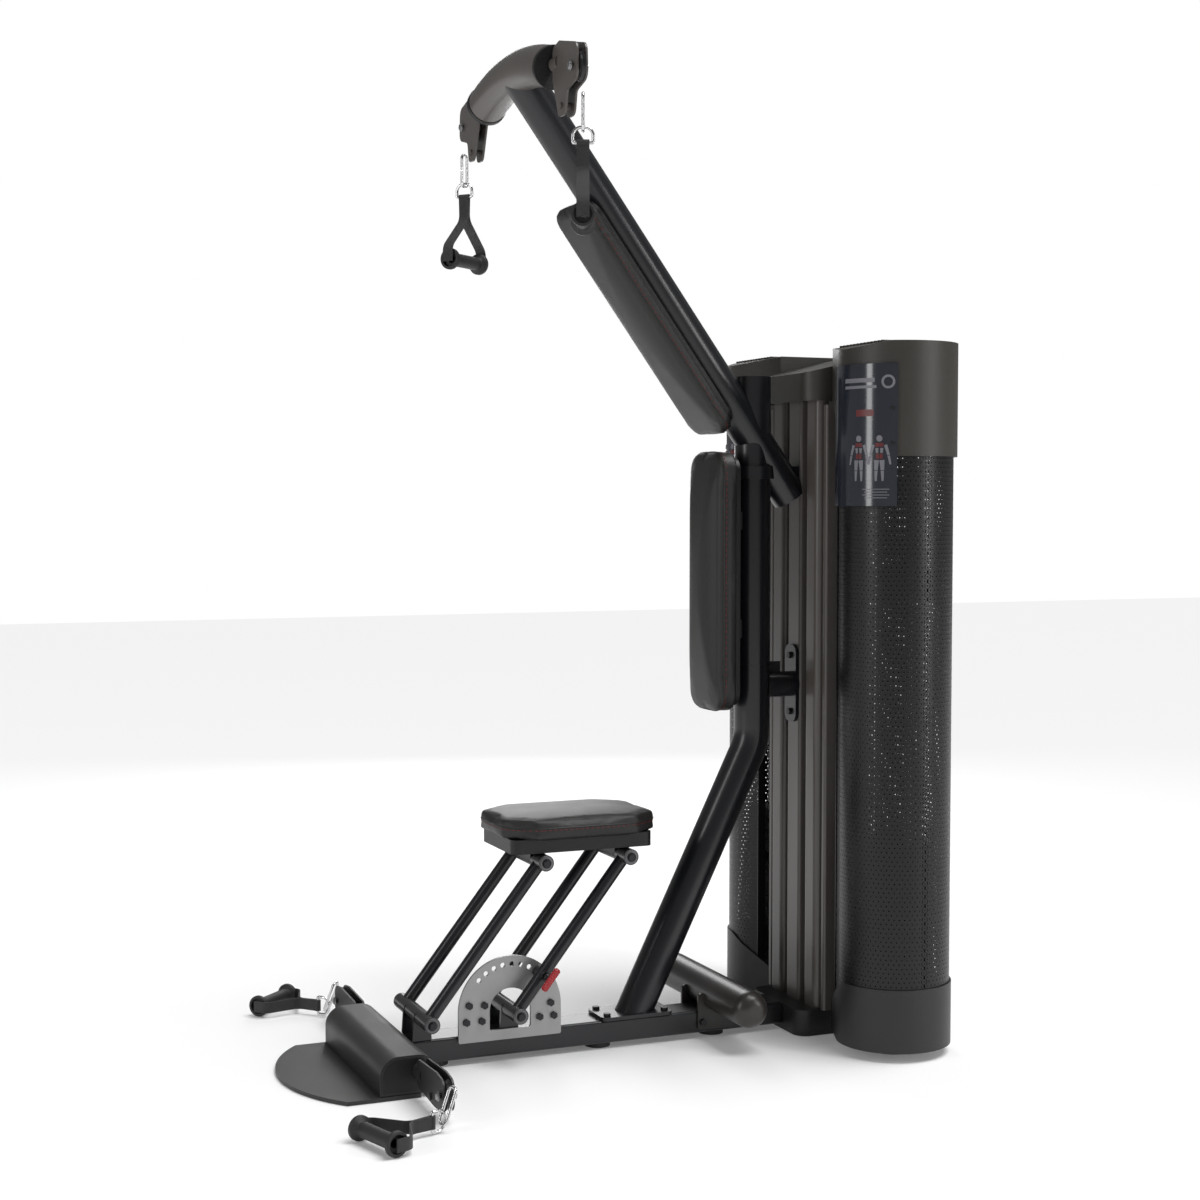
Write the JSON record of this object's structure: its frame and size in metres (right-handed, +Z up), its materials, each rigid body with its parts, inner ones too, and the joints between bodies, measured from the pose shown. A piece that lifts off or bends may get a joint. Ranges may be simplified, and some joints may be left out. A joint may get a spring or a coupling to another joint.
{
  "type": "functional trainer",
  "caption": "Cable exercise machine: seat on a swinging parallelogram, bent spine with back pads and a sloping boom, two weight towers, pulley swivels and stirrup handles.",
  "frame": {"origin": "on the floor under the middle of the machine, on the base beam's centre line", "axes": "+X towards the side with the pull pin, +Y from the foot plate to the weight towers, +Z up"},
  "size_m": [1.1743, 1.416, 2.1265],
  "materials": {
    "frame_black": "satin black enamel",
    "foot_grey": "satin dark grey enamel",
    "pin_red": "gloss",
    "plate_grey": "brushed light grey",
    "pan_black": "fine texture",
    "pad_vinyl": "grained vinyl",
    "tube_taupe": "satin warm grey enamel",
    "cap_black": "fine texture",
    "bar_taupe": "satin warm grey enamel",
    "shroud_taupe": "fine texture",
    "boot_black": "fine texture",
    "cover_black": "satin black",
    "placard_blue": "gloss",
    "rod_chrome": "bright",
    "weight_iron": "black enamel",
    "cable_black": "sheathed",
    "swivel_taupe": "satin",
    "swivel_dark": "satin",
    "sheave_black": "semi-gloss",
    "wire_chrome": "bright",
    "web_black": "woven",
    "grip_rubber": "matt",
    "foot_rubber": "matt",
    "bolt_black": "blackened"
  },
  "bodies": {
    "frame": {"base_beam": "frame_black", "base_shrouds": "boot_black", "boom_collar": "cap_black", "boom_tube": "frame_black", "column_bars": "bar_taupe", "column_hood": "shroud_taupe", "cross_tube": "tube_taupe", "crown_sheaves": "sheave_black", "floor_feet": "foot_rubber", "foot_drum": "foot_grey", "foot_plate": "foot_grey", "frame_bolts": "bolt_black", "guide_rods": "rod_chrome", "head_caps": "cap_black", "head_tube": "tube_taupe", "index_plate": "plate_grey", "lift_cable_far": "cable_black", "lift_cable_near": "cable_black", "link_brackets": "frame_black", "lower_back_pad": "pad_vinyl", "pad_boards": "pan_black", "placards": "placard_blue", "pulley_crossbar": "frame_black", "rear_cover": "cover_black", "resting_weights": "weight_iron", "spine_lower": "frame_black", "spine_strut": "frame_black", "spine_upper": "frame_black", "top_shrouds": "shroud_taupe", "tower_covers": "cover_black", "upper_back_pad": "pad_vinyl"},
    "front_link": {"front_links": "frame_black"},
    "rear_link": {"rear_links": "frame_black"},
    "pin": {"pull_pin": "pin_red"},
    "seat": {"seat_pan": "pan_black", "seat_cushion": "pad_vinyl"},
    "stack_near": {"lifted_weights_near": "weight_iron"},
    "selector_near": {"selector_pin_near": "pin_red"},
    "swivel_upper_near": {"upper_swivel_near": "swivel_taupe"},
    "wheel_upper_near": {"upper_sheave_near": "sheave_black"},
    "pull_upper_near": {"carabiner_upper_near": "wire_chrome", "strap_upper_near": "web_black"},
    "hold_upper_near": {"grip_upper_near": "grip_rubber"},
    "swivel_lower_near": {"lower_swivel_near": "swivel_dark"},
    "wheel_lower_near": {"lower_sheave_near": "sheave_black"},
    "pull_lower_near": {"carabiner_lower_near": "wire_chrome", "strap_lower_near": "web_black"},
    "hold_lower_near": {"grip_lower_near": "grip_rubber"},
    "stack_far": {"lifted_weights_far": "weight_iron"},
    "selector_far": {"selector_pin_far": "pin_red"},
    "swivel_upper_far": {"upper_swivel_far": "swivel_taupe"},
    "wheel_upper_far": {"upper_sheave_far": "sheave_black"},
    "pull_upper_far": {"carabiner_upper_far": "wire_chrome", "strap_upper_far": "web_black"},
    "hold_upper_far": {"grip_upper_far": "grip_rubber"},
    "swivel_lower_far": {"lower_swivel_far": "swivel_dark"},
    "wheel_lower_far": {"lower_sheave_far": "sheave_black"},
    "pull_lower_far": {"carabiner_lower_far": "wire_chrome", "strap_lower_far": "web_black"},
    "hold_lower_far": {"grip_lower_far": "grip_rubber"}
  },
  "joints": [
    {"name": "seat_swing", "type": "hinge", "parent": "frame", "child": "rear_link", "pos_m": [0, -0.218, 0.111], "axis": [1, 0, 0], "range_deg": [-12, 72]},
    {"name": "front_link_swing", "type": "hinge", "parent": "frame", "child": "front_link", "pos_m": [0, -0.411, 0.111], "axis": [1, 0, 0], "range_deg": [-12, 72]},
    {"name": "seat_level", "type": "hinge", "parent": "rear_link", "child": "seat", "pos_m": [0, 0.03246, 0.42927], "axis": [1, 0, 0], "range_deg": [-72, 12]},
    {"name": "pull_pin_slide", "type": "slide", "parent": "rear_link", "child": "pin", "axis": [1, 0, 0], "range_m": [-0.006, 0.01]},
    {"name": "stack_near_lift", "type": "slide", "parent": "frame", "child": "stack_near", "axis": [0, 0, 1], "range_m": [0, 0.75], "deforming": ["lift_cable_near"]},
    {"name": "selector_near_pull", "type": "slide", "parent": "stack_near", "child": "selector_near", "axis": [0, -1, 0], "range_m": [0, 0.03]},
    {"name": "swivel_upper_near_turn", "type": "hinge", "parent": "frame", "child": "swivel_upper_near", "pos_m": [0.235, -0.178, 2.055], "axis": [1, 0, 0], "range_deg": [-80, 80]},
    {"name": "sheave_upper_near_spin", "type": "hinge", "parent": "swivel_upper_near", "child": "wheel_upper_near", "pos_m": [0.336, -0.178, 2.029], "axis": [0, 1, 0], "continuous": true},
    {"name": "handle_upper_near_swing", "type": "hinge", "parent": "swivel_upper_near", "child": "pull_upper_near", "pos_m": [0.362, -0.178, 1.975], "axis": [0.9272, -0.3746, 0], "range_deg": [-50, 50]},
    {"name": "grip_upper_near_spin", "type": "hinge", "parent": "pull_upper_near", "child": "hold_upper_near", "pos_m": [0.362, -0.178, 1.732], "axis": [0.9272, -0.3746, 0], "continuous": true},
    {"name": "swivel_lower_near_turn", "type": "hinge", "parent": "frame", "child": "swivel_lower_near", "pos_m": [0.24, -0.47, 0.056], "axis": [1, 0, 0], "range_deg": [-100, 0]},
    {"name": "sheave_lower_near_spin", "type": "hinge", "parent": "swivel_lower_near", "child": "wheel_lower_near", "pos_m": [0.386, -0.47, 0.052], "axis": [0, 1, 0], "continuous": true},
    {"name": "handle_lower_near_swing", "type": "hinge", "parent": "swivel_lower_near", "child": "pull_lower_near", "pos_m": [0.433, -0.47, 0.084], "axis": [0.9511, 0.309, 0], "range_deg": [-85, 0]},
    {"name": "grip_lower_near_spin", "type": "hinge", "parent": "pull_lower_near", "child": "hold_lower_near", "pos_m": [0.48601, -0.63314, 0.02401], "axis": [0.9511, 0.309, 0], "continuous": true},
    {"name": "stack_far_lift", "type": "slide", "parent": "frame", "child": "stack_far", "axis": [0, 0, 1], "range_m": [0, 0.75], "deforming": ["lift_cable_far"]},
    {"name": "selector_far_pull", "type": "slide", "parent": "stack_far", "child": "selector_far", "axis": [0, -1, 0], "range_m": [0, 0.03]},
    {"name": "swivel_upper_far_turn", "type": "hinge", "parent": "frame", "child": "swivel_upper_far", "pos_m": [-0.235, -0.178, 2.055], "axis": [1, 0, 0], "range_deg": [-80, 80]},
    {"name": "sheave_upper_far_spin", "type": "hinge", "parent": "swivel_upper_far", "child": "wheel_upper_far", "pos_m": [-0.336, -0.178, 2.029], "axis": [0, 1, 0], "continuous": true},
    {"name": "handle_upper_far_swing", "type": "hinge", "parent": "swivel_upper_far", "child": "pull_upper_far", "pos_m": [-0.362, -0.178, 1.975], "axis": [0.6293, -0.7771, 0], "range_deg": [-50, 50]},
    {"name": "grip_upper_far_spin", "type": "hinge", "parent": "pull_upper_far", "child": "hold_upper_far", "pos_m": [-0.362, -0.178, 1.732], "axis": [0.6293, -0.7771, 0], "continuous": true},
    {"name": "swivel_lower_far_turn", "type": "hinge", "parent": "frame", "child": "swivel_lower_far", "pos_m": [-0.24, -0.47, 0.056], "axis": [1, 0, 0], "range_deg": [-100, 0]},
    {"name": "sheave_lower_far_spin", "type": "hinge", "parent": "swivel_lower_far", "child": "wheel_lower_far", "pos_m": [-0.386, -0.47, 0.052], "axis": [0, 1, 0], "continuous": true},
    {"name": "handle_lower_far_swing", "type": "hinge", "parent": "swivel_lower_far", "child": "pull_lower_far", "pos_m": [-0.433, -0.47, 0.084], "axis": [0.6947, -0.7193, 0], "range_deg": [-85, 0]},
    {"name": "grip_lower_far_spin", "type": "hinge", "parent": "pull_lower_far", "child": "hold_lower_far", "pos_m": [-0.55639, -0.58916, 0.02401], "axis": [0.6947, -0.7193, 0], "continuous": true}
  ],
  "couplings": [
    {"joint": "front_link_swing", "follows": "seat_swing", "ratio": 1},
    {"joint": "seat_level", "follows": "seat_swing", "ratio": -1}
  ]
}
